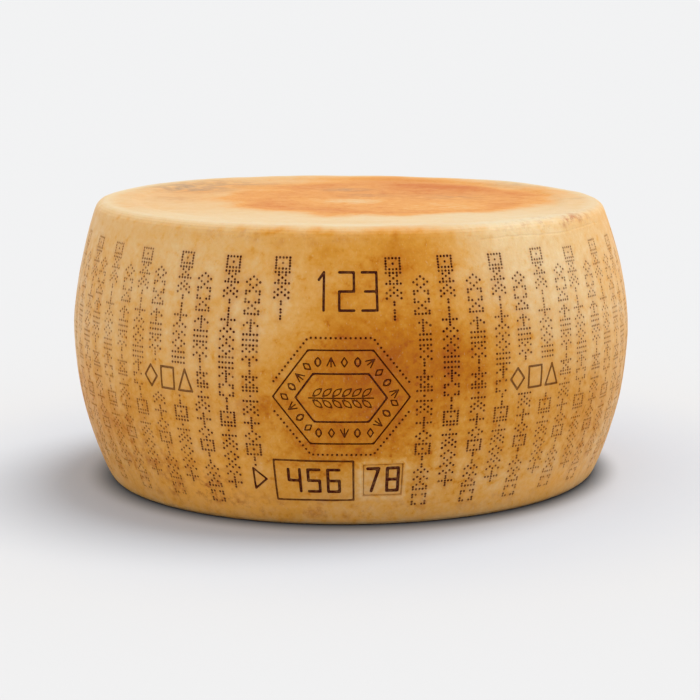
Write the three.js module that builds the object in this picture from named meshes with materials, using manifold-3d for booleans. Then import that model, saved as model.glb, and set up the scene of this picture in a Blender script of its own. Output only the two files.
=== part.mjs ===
// A whole wheel of hard aged cheese: a drum with bulging sides, a shallow dish in its top face,
// and marks pressed into the side while the rind was young. Millimetres, +Z up.
// The origin is on the resting face under the middle of the drum. The stamped front faces -Y.

import * as THREE from 'three';
import { mergeVertices } from 'three/addons/utils/BufferGeometryUtils.js';
import Module from 'manifold-3d';

// ---- The drum ----
const bulgeDiameter = 440;      // across the widest ring
const height = 217;             // from base to rim, at the axis
const bulgeHeight = 119;        // from the base up to the widest ring
const topTaper = 21;            // how far the top corner stands in from the widest ring
const baseTaper = 27;           // the same at the base corner
const topCurve = 1.63;          // how suddenly the side turns in above the widest ring
const baseCurve = 2.03;         // the same below it
const shoulderRound = 7;        // length of the rounding at the top edge
const baseRound = 5;            // length of the rounding at the base edge
const topSlope = 5.2;           // the top falls this much from -X to +X
const rimWidth = 27;            // plain band round the top face
const dishSlopeWidth = 9;       // band over which the dish goes down
const dishDepth = 1.6;          // how far the middle of the top face lies under its rim

// ---- The pressed marks: sizes are measured along the surface ----
const markDepth = 1.3;          // how far a mark's floor lies under the rind
const lineWidth = 2;            // width of a drawn line
const plaqueWidth = 98;         // long hexagon on the front
const plaqueHeight = 68;
const plaqueBevel = 26;         // how far the hexagon's left and right points stand out
const medallionWidth = 65;      // smaller hexagon inside the plaque
const medallionHeight = 35;
const medallionBevel = 13;
const batchDigitHeight = 28;    // the big number over the plaque
const batchDigitWidth = 12.6;
const boxWidth = 60;            // framed number at the foot
const boxHeight = 31;
const boxDigitHeight = 19.5;
const boxDigitWidth = 11;
const panelWidth = 31;          // sunk panel beside the framed number
const panelHeight = 26;
const panelDepth = 0.9;
const panelDigitHeight = 20.5;
const panelDigitWidth = 11;
const footGap = 7;              // space between box and panel, and from box to pointer
const pointerWidth = 10;        // small triangle beside the box
const pointerHeight = 16;
const digitGap = 4;             // space between neighbouring digits
const symbolWidth = 14;         // plain shapes pressed round the widest ring, three in a group
const symbolTall = 18;
const symbolGap = 2.6;          // space between the shapes of a group
const symbolPitch = 286;        // from one group to the next, along the side
const symbolHeight = 106;       // height of the middle of these shapes over the base
const earLength = 46;           // ear of grain lying in the medallion
const kernelPairs = 6;
const kernelLength = 8.6;
const kernelWidth = 3.2;
const kernelLift = 4.8;         // from the stem to the middle of a kernel
const kernelLean = 0.7;         // angle between stem and kernel, in radians
const frontTurn = -7.5;         // the plaque's middle is this far along the side from -Y
const batchTurn = -3;           // the same for the big number
const footTurn = 4.2;           // the same for the middle of the gap between box and panel

// ---- How finely curves are drawn ----
const ringSteps = 84;
const sideSteps = 8;            // each for the parts above and below the widest ring
const roundSteps = 3;

const bulgeRadius = bulgeDiameter / 2;
const shoulderLength = Math.min(shoulderRound, rimWidth / 2, topTaper);
const wasm = await Module();
wasm.setup();

// Heights of the marks: what is left of the side beside the three rows is shared out as gaps.
const freeHeight = height - boxHeight - plaqueHeight - batchDigitHeight;
const footMiddle = freeHeight * 0.231 + boxHeight / 2;
const plaqueMiddle = footMiddle + boxHeight / 2 + freeHeight * 0.15 + plaqueHeight / 2;
const batchMiddle = plaqueMiddle + plaqueHeight / 2 + freeHeight * 0.294 + batchDigitHeight / 2;

// Radius of the side at a height, before its two edges are rounded.
function sideRadius(z) {
  if (z > bulgeHeight) {
    const share = (z - bulgeHeight) / (height - bulgeHeight);
    return bulgeRadius - topTaper * share ** topCurve;
  }
  const share = (bulgeHeight - z) / bulgeHeight;
  return bulgeRadius - baseTaper * share ** baseCurve;
}

// Rounds a corner between two points of the outline.
function cornerPoints(before, corner, after) {
  return new THREE.QuadraticBezierCurve(before, corner, after).getPoints(roundSteps);
}

// Half outline of the drum from the middle of the base to the middle of the top.
function drumOutline() {
  const baseCorner = new THREE.Vector2(sideRadius(0), 0);
  const topCorner = new THREE.Vector2(sideRadius(height), height);
  const sideStart = new THREE.Vector2(sideRadius(baseRound), baseRound);
  const sideEnd = new THREE.Vector2(sideRadius(height - shoulderLength), height - shoulderLength);
  const baseEnd = new THREE.Vector2(baseCorner.x - baseRound, 0);
  const rimStart = new THREE.Vector2(topCorner.x - shoulderLength, height);
  const outline = [new THREE.Vector2(0, 0), ...cornerPoints(baseEnd, baseCorner, sideStart)];
  for (let i = 1; i < sideSteps; i++) {
    const z = THREE.MathUtils.lerp(baseRound, bulgeHeight, i / sideSteps);
    outline.push(new THREE.Vector2(sideRadius(z), z));
  }
  outline.push(new THREE.Vector2(bulgeRadius, bulgeHeight));
  for (let i = 1; i < sideSteps; i++) {
    const z = THREE.MathUtils.lerp(bulgeHeight, height - shoulderLength, i / sideSteps);
    outline.push(new THREE.Vector2(sideRadius(z), z));
  }
  outline.push(...cornerPoints(sideEnd, topCorner, rimStart));
  for (let i = 0; i <= roundSteps; i++) {
    const share = i / roundSteps;
    const drop = dishDepth * THREE.MathUtils.smoothstep(share, 0, 1);
    outline.push(new THREE.Vector2(topCorner.x - rimWidth - dishSlopeWidth * share, height - drop));
  }
  outline.push(new THREE.Vector2(0, height - dishDepth));
  return outline;
}

// Turns a closed geometry into a solid that can be joined and cut.
function toSolid(geometry) {
  geometry.deleteAttribute('normal');
  geometry.deleteAttribute('uv');
  const merged = mergeVertices(geometry, 1e-4);
  const corners = merged.index.array;
  const kept = [];
  for (let i = 0; i < corners.length; i += 3) {
    const [a, b, c] = corners.slice(i, i + 3);
    if (a !== b && b !== c && c !== a) kept.push(a, b, c);
  }
  return new wasm.Manifold(new wasm.Mesh({
    numProp: 3,
    vertProperties: new Float32Array(merged.attributes.position.array),
    triVerts: new Uint32Array(kept),
  }));
}

// The drum with its side moved in by a depth: depth 0 is the wheel, a mark's depth is what stays
// behind the mark.
function drum(depth) {
  const outline = drumOutline().map((point) => new THREE.Vector2(Math.max(point.x - depth, 0), point.y));
  const geometry = new THREE.LatheGeometry(outline, ringSteps);
  geometry.rotateX(Math.PI / 2);
  return toSolid(geometry);
}

// Extrudes a flat shape outwards through the side and bends it round the drum. Its x runs
// along the side from `turn`, its y up from `middle`, both in millimetres.
function bentPrism(shape, turn, middle) {
  const reach = topTaper + baseTaper;
  const geometry = new THREE.ExtrudeGeometry(shape, { depth: 2 * reach, bevelEnabled: false });
  const position = geometry.attributes.position;
  for (let i = 0; i < position.count; i++) {
    const angle = (turn + position.getX(i)) / bulgeRadius;
    const radius = bulgeRadius - reach + position.getZ(i);
    const z = middle + position.getY(i);
    position.setXYZ(i, radius * Math.sin(angle), -radius * Math.cos(angle), z);
  }
  return toSolid(geometry);
}

// A closed shape through a list of [x, y] corners.
function polygon(corners) {
  return new THREE.Shape(corners.map(([x, y]) => new THREE.Vector2(x, y)));
}

function rectangle(width, tall) {
  const right = width / 2;
  const top = tall / 2;
  return polygon([[-right, -top], [right, -top], [right, top], [-right, top]]);
}

// A hexagon whose points lie left and right.
function hexagon(width, tall, bevel) {
  const flat = width / 2 - bevel;
  return polygon([
    [-flat, -tall / 2], [flat, -tall / 2], [width / 2, 0],
    [flat, tall / 2], [-flat, tall / 2], [-width / 2, 0],
  ]);
}

// A drawn line round a rectangle, inside its edge.
function rectangleFrame(width, tall) {
  const outer = rectangle(width, tall);
  outer.holes.push(rectangle(width - 2 * lineWidth, tall - 2 * lineWidth));
  return outer;
}

// A drawn line round a hexagon, inside its edge.
function hexagonFrame(width, tall, bevel) {
  const outer = hexagon(width, tall, bevel);
  outer.holes.push(hexagon(width - 2 * lineWidth, tall - 2 * lineWidth, bevel - lineWidth / 2));
  return outer;
}

// A straight line with square ends that reach half its width past both points.
function line(from, to) {
  const along = new THREE.Vector2().subVectors(to, from).setLength(lineWidth / 2);
  const across = new THREE.Vector2(-along.y, along.x);
  const start = from.clone().sub(along);
  const end = to.clone().add(along);
  return new THREE.Shape([
    start.clone().sub(across), end.clone().sub(across), end.clone().add(across), start.clone().add(across),
  ]);
}

// Lines from each corner to the next, round a closed figure.
function drawn(corners, turn, middle) {
  return corners.map(([x, y], index) => {
    const [nextX, nextY] = corners[(index + 1) % corners.length];
    const stroke = line(new THREE.Vector2(x, y), new THREE.Vector2(nextX, nextY));
    return bentPrism(stroke, turn, middle);
  });
}

// Each digit's lines, in a box that runs from 0 to 1 across and from 0 to 2 up.
const digitLines = {
  1: [[0.5, 0, 0.5, 2], [0.15, 1.6, 0.5, 2]],
  2: [[0, 2, 1, 2], [1, 2, 1, 1], [1, 1, 0, 1], [0, 1, 0, 0], [0, 0, 1, 0]],
  3: [[0, 2, 1, 2], [1, 2, 1, 0], [0.2, 1, 1, 1], [0, 0, 1, 0]],
  4: [[0, 2, 0, 1], [0, 1, 1, 1], [1, 2, 1, 0]],
  5: [[1, 2, 0, 2], [0, 2, 0, 1], [0, 1, 1, 1], [1, 1, 1, 0], [1, 0, 0, 0]],
  6: [[1, 2, 0, 2], [0, 2, 0, 0], [0, 1, 1, 1], [1, 1, 1, 0], [0, 0, 1, 0]],
  7: [[0, 2, 1, 2], [1, 2, 0.35, 0]],
  8: [[0, 2, 1, 2], [0, 2, 0, 0], [1, 2, 1, 0], [0, 1, 1, 1], [0, 0, 1, 0]],
};

// A row of digits centred on a place.
function number(digits, wide, tall, turn, middle) {
  const pitch = wide + digitGap;
  const inkWidth = wide - lineWidth;
  const inkHeight = tall - lineWidth;
  const solids = [];
  digits.forEach((digit, index) => {
    const left = (index - digits.length / 2 + 0.5) * pitch - inkWidth / 2;
    for (const [x0, y0, x1, y1] of digitLines[digit]) {
      const from = new THREE.Vector2(left + x0 * inkWidth, (y0 / 2 - 0.5) * inkHeight);
      const to = new THREE.Vector2(left + x1 * inkWidth, (y1 / 2 - 0.5) * inkHeight);
      solids.push(bentPrism(line(from, to), turn, middle));
    }
  });
  return solids;
}

// The plaque: two hexagon lines with an ear of grain in the middle.
function plaque() {
  const solids = [
    bentPrism(hexagonFrame(plaqueWidth, plaqueHeight, plaqueBevel), frontTurn, plaqueMiddle),
    bentPrism(hexagonFrame(medallionWidth, medallionHeight, medallionBevel), frontTurn, plaqueMiddle),
  ];
  const stemStart = new THREE.Vector2(-earLength / 2, 0);
  const stemEnd = new THREE.Vector2(earLength / 2, 0);
  solids.push(bentPrism(line(stemStart, stemEnd), frontTurn, plaqueMiddle));
  const kernelPitch = earLength / (kernelPairs + 0.6);
  for (const side of [-1, 1]) {
    const along = new THREE.Vector2(Math.cos(kernelLean), side * Math.sin(kernelLean));
    const across = new THREE.Vector2(-along.y, along.x);
    for (let pair = 0; pair < kernelPairs; pair++) {
      const middle = new THREE.Vector2(stemStart.x + (pair + 0.9) * kernelPitch, side * kernelLift);
      const kernel = new THREE.Shape([
        middle.clone().addScaledVector(along, -kernelLength / 2),
        middle.clone().addScaledVector(across, kernelWidth / 2),
        middle.clone().addScaledVector(along, kernelLength / 2),
        middle.clone().addScaledVector(across, -kernelWidth / 2),
      ]);
      solids.push(bentPrism(kernel, frontTurn, plaqueMiddle));
    }
  }
  return solids;
}

// The framed number, and the pointer to its left.
function footBox() {
  const turn = footTurn - footGap / 2 - boxWidth / 2;
  const pointerTurn = turn - boxWidth / 2 - footGap - pointerWidth / 2;
  const pointer = [
    [-pointerWidth / 2, -pointerHeight / 2], [pointerWidth / 2, 0], [-pointerWidth / 2, pointerHeight / 2],
  ];
  return [
    bentPrism(rectangleFrame(boxWidth, boxHeight), turn, footMiddle),
    ...drawn(pointer, pointerTurn, footMiddle),
    ...number([4, 5, 6], boxDigitWidth, boxDigitHeight, turn, footMiddle),
  ];
}

// Three plain shapes side by side, in groups round the widest ring: two groups on either side
// of the plaque and one at the back, where the ends of the mould's band met.
function symbols() {
  const right = (symbolWidth - lineWidth) / 2;
  const top = (symbolTall - lineWidth) / 2;
  const shapes = [
    [[0, -top], [right, 0], [0, top], [-right, 0]],
    [[-right, -top], [right, -top], [right, top], [-right, top]],
    [[-right, -top], [right, -top], [0, top]],
  ];
  const groupTurns = [-1.5, -0.5, 0.5, 1.5].map((step) => step * symbolPitch);
  groupTurns.push(Math.PI * bulgeRadius);
  const solids = [];
  for (const groupTurn of groupTurns) {
    shapes.forEach((shape, index) => {
      const turn = groupTurn + (index - 1) * (symbolWidth + symbolGap);
      solids.push(...drawn(shape, turn, symbolHeight));
    });
  }
  return solids;
}

// Leans the top face: the drum is thicker on one side.
function leanTop(geometry) {
  const position = geometry.attributes.position;
  for (let i = 0; i < position.count; i++) {
    const x = position.getX(i);
    const z = position.getZ(i);
    position.setZ(i, z - topSlope * (x / bulgeDiameter) * (z / height));
  }
}

function cheeseWheel() {
  const marks = wasm.Manifold.union([
    ...plaque(),
    ...footBox(),
    ...symbols(),
    ...number([1, 2, 3], batchDigitWidth, batchDigitHeight, batchTurn, batchMiddle),
  ]).subtract(drum(markDepth));
  const panelTurn = footTurn + footGap / 2 + panelWidth / 2;
  const panel = bentPrism(rectangle(panelWidth, panelHeight), panelTurn, footMiddle)
    .subtract(drum(panelDepth));
  const panelDigits = wasm.Manifold.union(
    number([7, 8], panelDigitWidth, panelDigitHeight, panelTurn, footMiddle),
  ).subtract(drum(panelDepth + markDepth));
  const solid = drum(0).subtract(marks).subtract(panel).subtract(panelDigits);
  const { vertProperties, triVerts } = solid.getMesh();
  const geometry = new THREE.BufferGeometry();
  geometry.setAttribute('position', new THREE.BufferAttribute(vertProperties, 3));
  geometry.setIndex(new THREE.BufferAttribute(triVerts, 1));
  leanTop(geometry);
  geometry.computeVertexNormals();
  const rind = new THREE.MeshStandardMaterial({ color: '#c9924c', roughness: 0.55, metalness: 0 });
  const mesh = new THREE.Mesh(geometry, rind);
  mesh.name = 'cheese_wheel';
  return mesh;
}

const model = new THREE.Group();
model.add(cheeseWheel());

export default model;
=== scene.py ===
import math
import bmesh
import bpy
import numpy as np
from mathutils import Euler, Matrix, Vector, kdtree, noise
from mathutils.geometry import delaunay_2d_cdt


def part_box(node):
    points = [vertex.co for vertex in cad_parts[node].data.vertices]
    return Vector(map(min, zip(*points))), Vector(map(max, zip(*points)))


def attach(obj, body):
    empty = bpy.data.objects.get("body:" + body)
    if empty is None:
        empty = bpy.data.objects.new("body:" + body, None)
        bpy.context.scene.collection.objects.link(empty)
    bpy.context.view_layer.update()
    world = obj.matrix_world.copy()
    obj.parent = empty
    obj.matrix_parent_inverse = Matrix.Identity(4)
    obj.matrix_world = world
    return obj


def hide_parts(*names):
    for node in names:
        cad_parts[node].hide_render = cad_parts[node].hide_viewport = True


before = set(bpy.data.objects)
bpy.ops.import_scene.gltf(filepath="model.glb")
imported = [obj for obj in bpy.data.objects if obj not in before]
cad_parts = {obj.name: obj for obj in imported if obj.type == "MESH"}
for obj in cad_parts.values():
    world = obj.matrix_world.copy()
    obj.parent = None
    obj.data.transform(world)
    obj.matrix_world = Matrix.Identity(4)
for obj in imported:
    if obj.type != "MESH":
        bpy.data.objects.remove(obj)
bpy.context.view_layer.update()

boxLow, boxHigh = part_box("cheese_wheel")
mm = 0.001                      # the sizes below are in millimetres
rng = np.random.default_rng(11)

# The drum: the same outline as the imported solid.
wheel = {
    "bulgeHeight": 119,         # height of the widest ring
    "topTaper": 21, "baseTaper": 27,
    "topCurve": 1.63, "baseCurve": 2.03,
    "shoulderRound": 7, "baseRound": 5,
    "topSlope": 5.2,            # the top falls this much from -X to +X
    "rimWidth": 27, "dishSlopeWidth": 9, "dishDepth": 1.6,
    "seamAt": 571,              # where the side's sheet is joined, a gap between two columns
}
radius = (boxHigh.x - boxLow.x) / 2 / mm
around = 2 * math.pi * radius
rimRadius = radius - wheel["topTaper"] - wheel["shoulderRound"]
height = boxHigh.z / mm - wheel["topSlope"] * rimRadius / (2 * radius)
sideLow = wheel["baseRound"]
sideHigh = height - wheel["shoulderRound"]

# How finely the rind is drawn.
mesh = {
    "ringPoints": 276,          # points round each edge, 5 mm apart
    "roundSteps": 5, "seamPoints": 40, "ringPitch": 5.5,
    "grainSide": 5.3, "grainTop": 7.5, "grainBase": 9.75,       # spacing of the plain mesh
    "rowShare": 0.87,           # the rows of a triangular grid lie this share of its pitch apart
    "sideMargins": (0.8, 0.6, 0.8, 0.7), "rowShift": 0.9,       # low, high, left and right, in pitches
    "sideJitter": 0.9, "faceJitter": 1, "faceMargin": 0.7, "faceRingGap": 0.45,
    "wall": 0.45, "strokeStep": 1.5, "endSides": 8, "lipSlack": 0.04, "lipGap": 0.42, "holeSides": 6,
    "panelWall": 0.8, "panelPitch": 1.6, "panelGap": 0.5,
    "clearHole": 1.9, "clearStroke": 1.5, "clearPanel": 2.6,
    "strokeReach": 12,          # a stroke further away than this doesn't count
}
sheetLeft = wheel["seamAt"] - around
ringCount = mesh["ringPoints"]
ringU = sheetLeft + np.arange(ringCount + 1) * around / ringCount
ringAngles = sheetLeft / radius + np.arange(ringCount) * 2 * math.pi / ringCount

# Slow unevenness of the rind, as (size of a swell, how far it stands out or in); less on the faces and
# none where the base touches the floor.
relief = {"swells": [(150, 1.3), (60, 0.6), (22, 0.28), (9, 0.1)], "seed": 20, "faceShare": 0.8, "rise": 12}


def smooth(share):
    share = np.clip(share, 0, 1)
    return share * share * (3 - 2 * share)


def noiseAt(points, size, seed):
    shift = Vector((seed * 17.3, seed * 5.1, seed * 9.7))
    return np.array([noise.noise(Vector(p) / size + shift) for p in points])


def sideRadius(z):
    up = np.clip((z - wheel["bulgeHeight"]) / (height - wheel["bulgeHeight"]), 0, 1)
    down = np.clip((wheel["bulgeHeight"] - z) / wheel["bulgeHeight"], 0, 1)
    inAbove = wheel["topTaper"] * up ** wheel["topCurve"]
    inBelow = wheel["baseTaper"] * down ** wheel["baseCurve"]
    return radius - inAbove - inBelow


# u runs along the side from the front, -Y, towards +X.
def sidePlaces(u, z):
    angle = u / radius
    outX, outY = np.sin(angle), -np.cos(angle)
    r = sideRadius(z)
    slope = sideRadius(z + 0.5) - sideRadius(z - 0.5)
    level = 1 / np.sqrt(1 + slope ** 2)
    places = np.stack([r * outX, r * outY, z], 1)
    normals = np.stack([level * outX, level * outY, -slope * level], 1)
    return places, normals


# Everything pressed into the rind is either a stroke along a line or a round hole.
strokes = []                    # one row a straight piece: u, z, u, z, half width, depth, ink
holes = []                      # one row a hole: u, z, radius, depth, ink


def press(points, width, depth, ink, closed=False):
    path = list(points) + ([points[0]] if closed else [])
    for a, b in zip(path, path[1:]):
        strokes.append([a[0], a[1], b[0], b[1], width / 2, depth, ink])


def rectanglePath(width, tall, u=0, z=0):
    x, y = width / 2, tall / 2
    return [(u - x, z - y), (u + x, z - y), (u + x, z + y), (u - x, z + y)]


def hexagonPath(width, tall, bevel, u=0, z=0):
    x, y, flat = width / 2, tall / 2, width / 2 - bevel
    return [(u - flat, z - y), (u + flat, z - y), (u + x, z),
            (u + flat, z + y), (u - flat, z + y), (u - x, z)]


# A pointed oval standing on its tip.
def leafPath(length, width, steps=5):
    side = [(width / 2 * math.sin(math.pi * i / steps), length * (i / steps - 0.5)) for i in range(steps)]
    return side + [(-x, -y) for x, y in side]


def turned(points, angle, u, z):
    c, s = math.cos(angle), math.sin(angle)
    return [(u + x * c - y * s, z + x * s + y * c) for x, y in points]


# Places evenly spaced round a closed path, each with the direction of the path there.
def walk(path, pitch):
    found = []
    corners = list(path) + [path[0]]
    lengths = [math.dist(a, b) for a, b in zip(corners, corners[1:])]
    count = round(sum(lengths) / pitch)
    step = sum(lengths) / count
    for i in range(count):
        along = (i + 0.5) * step
        for (a, b), length in zip(zip(corners, corners[1:]), lengths):
            if along <= length:
                share = along / length
                place = (a[0] + (b[0] - a[0]) * share, a[1] + (b[1] - a[1]) * share)
                found.append((place, math.atan2(b[1] - a[1], b[0] - a[0])))
                break
            along -= length
    return found


# The lines of each digit, in a box 1 wide and 2 tall.
digitLines = {
    1: [(0.5, 0, 0.5, 2), (0.15, 1.6, 0.5, 2)],
    2: [(0, 2, 1, 2), (1, 2, 1, 1), (1, 1, 0, 1), (0, 1, 0, 0), (0, 0, 1, 0)],
    3: [(0, 2, 1, 2), (1, 2, 1, 0), (0.2, 1, 1, 1), (0, 0, 1, 0)],
    4: [(0, 2, 0, 1), (0, 1, 1, 1), (1, 2, 1, 0)],
    5: [(1, 2, 0, 2), (0, 2, 0, 1), (0, 1, 1, 1), (1, 1, 1, 0), (1, 0, 0, 0)],
    6: [(1, 2, 0, 2), (0, 2, 0, 0), (0, 1, 1, 1), (1, 1, 1, 0), (0, 0, 1, 0)],
    7: [(0, 2, 1, 2), (1, 2, 0.35, 0)],
    8: [(0, 2, 1, 2), (0, 2, 0, 0), (1, 2, 1, 0), (0, 1, 1, 1), (0, 0, 1, 0)],
}


def pressNumber(digits, wide, tall, gap, line, depth, u, z):
    for index, digit in enumerate(digits):
        left = u + (index - len(digits) / 2 + 0.5) * (wide + gap) - (wide - line) / 2
        for x0, y0, x1, y1 in digitLines[digit]:
            ends = [(left + x * (wide - line), z + (y / 2 - 0.5) * (tall - line))
                    for x, y in ((x0, y0), (x1, y1))]
            press(ends, line, depth, 1)


# The heights of the three rows of marks share out what is left of the side, as in the solid.
rows = {"foot": 31, "plaque": 68, "batch": 28, "gaps": (0.231, 0.15, 0.294)}
freeHeight = height - rows["foot"] - rows["plaque"] - rows["batch"]
footZ = freeHeight * rows["gaps"][0] + rows["foot"] / 2
plaqueZ = footZ + rows["foot"] / 2 + freeHeight * rows["gaps"][1] + rows["plaque"] / 2
batchZ = plaqueZ + rows["plaque"] / 2 + freeHeight * rows["gaps"][2] + rows["batch"] / 2

# The batch number, thin upright strokes over the plaque.
batch = {"turn": -3, "digits": [1, 2, 3], "wide": 12.6, "gap": 4, "line": 1.9, "depth": 1.1}

# The plaque: a hexagon in a hexagon, small motifs between them, an ear of grain inside and dots outside.
plaque = {
    "turn": -7.5, "width": 98, "bevel": 26, "line": 1.3, "depth": 0.9, "ink": 0.95,
    "innerWidth": 65, "innerHeight": 35, "innerBevel": 13, "innerBold": 1.1,
    "dotsWidth": 114, "dotsHeight": 85, "dotsBevel": 34, "dotPitch": 3.5, "dotRadius": 1.05, "dotGap": 49,
    "dotDepth": 1.1, "dotInk": (0.8, 1),
    "motifPitch": 9.4, "motifLength": 6.6, "motifWidth": 4.4, "motifLean": 0.45,
    "motifLine": 1.05, "motifDepth": 0.8, "motifInk": 0.9,
    "earLength": 46, "kernels": 6, "kernelLength": 8.6, "kernelWidth": 3.6, "kernelLean": 0.7,
    "kernelOut": 4.2, "kernelThin": 0.9, "kernelInk": 0.85, "kernelEnds": (0.9, 0.6),
}


def pressPlaque():
    p = plaque
    u, z = p["turn"], plaqueZ
    outer = hexagonPath(p["width"], rows["plaque"], p["bevel"], u, z)
    inner = hexagonPath(p["innerWidth"], p["innerHeight"], p["innerBevel"], u, z)
    dotted = hexagonPath(p["dotsWidth"], p["dotsHeight"], p["dotsBevel"], u, z)
    press(outer, p["line"], p["depth"], p["ink"], True)
    press(inner, p["line"] * p["innerBold"], p["depth"], 1, True)
    for (x, y), _ in walk(dotted, p["dotPitch"]):
        if abs(x - u) < p["dotGap"]:
            holes.append([x, y, p["dotRadius"], p["dotDepth"], rng.uniform(*p["dotInk"])])
    ringWidth = (p["width"] + p["innerWidth"]) / 2
    ringHeight = (rows["plaque"] + p["innerHeight"]) / 2
    ring = hexagonPath(ringWidth, ringHeight, (p["bevel"] + p["innerBevel"]) / 2, u, z)
    long, wide = p["motifLength"], p["motifWidth"]
    leaf = leafPath(long, wide)
    lozenge = [(0, -long / 2), (wide / 2, 0), (0, long / 2), (-wide / 2, 0)]
    drawn = (p["motifLine"], p["motifDepth"], p["motifInk"])
    for index, ((x, y), angle) in enumerate(walk(ring, p["motifPitch"])):
        if index % 3 < 2:
            press(turned(lozenge if index % 3 else leaf, angle, x, y), *drawn, True)
            continue
        for lean in (-p["motifLean"], 0, p["motifLean"]):
            tip = (long * math.sin(lean), long * math.cos(lean) - long / 2)
            press(turned([(0, -long / 2), tip], angle, x, y), *drawn)
    half = p["earLength"] / 2
    press([(u - half, z), (u + half, z)], *drawn)
    first, more = p["kernelEnds"]
    for pair in range(p["kernels"]):
        x = u - half + (pair + first) * p["earLength"] / (p["kernels"] + more)
        for up in (-1, 1):
            lean = -math.pi / 2 + up * p["kernelLean"]
            kernel = turned(leafPath(p["kernelLength"], p["kernelWidth"]), lean, x, z + up * p["kernelOut"])
            press(kernel, p["motifLine"] * p["kernelThin"], p["motifDepth"], p["kernelInk"], True)


# The foot: a framed number, a sunk panel with a number, and a small triangle that points to them.
foot = {
    "turn": 4.2, "gap": 7, "digitGap": 4, "depth": 1.1,
    "boxWidth": 60, "boxLine": 1.6, "boxDepth": 1.0, "boxInk": 0.85,
    "digits": [4, 5, 6], "wide": 11, "tall": 19.5, "line": 2.3,
    "panelWidth": 31, "panelHeight": 26, "panelDepth": 0.9,
    "frameInset": 1.4, "frameLine": 1.1, "frameDepth": 0.3, "frameInk": 0.4,
    "panelDigits": [7, 8], "panelWide": 11, "panelTall": 20.5, "panelLine": 2.5,
    "pointerWidth": 10, "pointerHeight": 16,
}


def pressFoot():
    f = foot
    u = f["turn"] - f["gap"] / 2 - f["boxWidth"] / 2
    box = rectanglePath(f["boxWidth"], rows["foot"], u, footZ)
    press(box, f["boxLine"], f["boxDepth"], f["boxInk"], True)
    pressNumber(f["digits"], f["wide"], f["tall"], f["digitGap"], f["line"], f["depth"], u, footZ)
    x = u - f["boxWidth"] / 2 - f["gap"] - f["pointerWidth"] / 2
    w, t = f["pointerWidth"] / 2, f["pointerHeight"] / 2
    press([(x - w, footZ - t), (x + w, footZ), (x - w, footZ + t)], f["boxLine"], f["boxDepth"], 1, True)
    u = f["turn"] + f["gap"] / 2 + f["panelWidth"] / 2
    rim = rectanglePath(f["panelWidth"] - f["frameInset"], f["panelHeight"] - f["frameInset"], u, footZ)
    press(rim, f["frameLine"], f["frameDepth"], f["frameInk"], True)
    digits = f["panelDigits"]
    pressNumber(digits, f["panelWide"], f["panelTall"], f["digitGap"], f["panelLine"], f["depth"], u, footZ)
    return u


# Five groups of three outlined shapes round the widest part, one of them in the middle of the back.
symbols = {"wide": 14, "tall": 18, "gap": 2.6, "pitch": 286, "z": 106, "line": 1.8, "depth": 1.0, "ink": 0.66}


def pressSymbols():
    s = symbols
    x, y = s["wide"] / 2, s["tall"] / 2
    shapes = [
        [(0, -y), (x, 0), (0, y), (-x, 0)],
        [(-x, -y), (x, -y), (x, y), (-x, y)],
        [(-x, -y), (x, -y), (0, y)],
    ]
    inset = 1 - s["line"] / s["wide"]
    turns = [step * s["pitch"] for step in (-1.5, -0.5, 0.5, 1.5)] + [-around / 2]
    for turn in turns:
        for index, shape in enumerate(shapes):
            u = turn + (index - 1) * (s["wide"] + s["gap"])
            path = [(u + a * inset, s["z"] + b * inset) for a, b in shape]
            press(path, s["line"], s["depth"], s["ink"], True)
    return turns


# Columns of dotted ornaments cover the rest of the side: punched with a pin belt in the mould.
columns = {
    "count": 68, "turn": -8.4, "leftShift": -2.5, "highTop": 197, "lowTop": 184,
    "pitchAcross": 2.65, "pitchAlong": 1.88, "ornamentPitch": 10.0,
    "dotRadius": 1.04, "dotSizes": (0.88, 1.04), "dotDepth": 1.1, "dotDepths": (0.7, 1.15),
    "jitter": 0.05, "wander": 0.6, "lean": 1.3, "topJitter": 0.8,
    "boldFrom": 70, "boldFade": 120, "boldInk": 0.36, "boldSize": 0.08,    # the belt bit deepest at the front
    "strength": (0.54, 0.66), "inks": [0.7, 0.9, 1], "inkShares": [0.1, 0.3, 0.6],
    # Places that stay free of them, as left, right, low and high: the number, the plaque, the pointer.
    "clear": [(-41, 24, 0, height), (-63.5, 46.6, 0, 153), (-82, -60, 0, 45)],
    "clearSymbols": 2.5,
}
ornaments = {
    "lozenge": ["..#..", ".#.#.", "#...#", ".#.#.", "..#.."],
    "hourglass": ["#####", ".#.#.", "..#..", ".#.#.", "#####"],
    "window": ["#####", "#...#", "#.#.#", "#...#", "#####"],
    "arrow": ["..#..", ".###.", "#.#.#", "..#..", "..#.."],
    "carets": ["..#..", ".#.#.", "#.#.#", ".#.#.", "#...#"],
    "rungs": ["#####", ".....", "#####", ".....", "#####"],
    "heap": ["..#..", ".#.#.", "#...#", "#####", "....."],
    "waves": [".#.#.", "#.#.#", ".....", ".#.#.", "#.#.#"],
    "cross": ["..#..", "..#..", "#####", "..#..", "..#.."],
    "corners": ["##.##", "#...#", ".....", "#...#", "##.##"],
    "beads": ["#####", ".....", "..#..", ".....", "#####"],
    "dash": ["..#..", "..#..", ".....", "..#..", "..#.."],
}
orders = [
    ["window", "hourglass", "carets", "dash", "cross", "waves", "lozenge", "rungs", "arrow",
     "corners", "dash", "window", "beads", "carets", "lozenge", "waves", "cross"],
    ["lozenge", "corners", "heap", "arrow", "rungs", "waves", "dash", "hourglass", "beads",
     "carets", "cross", "lozenge", "window", "dash", "waves", "heap", "corners"],
]


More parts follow.
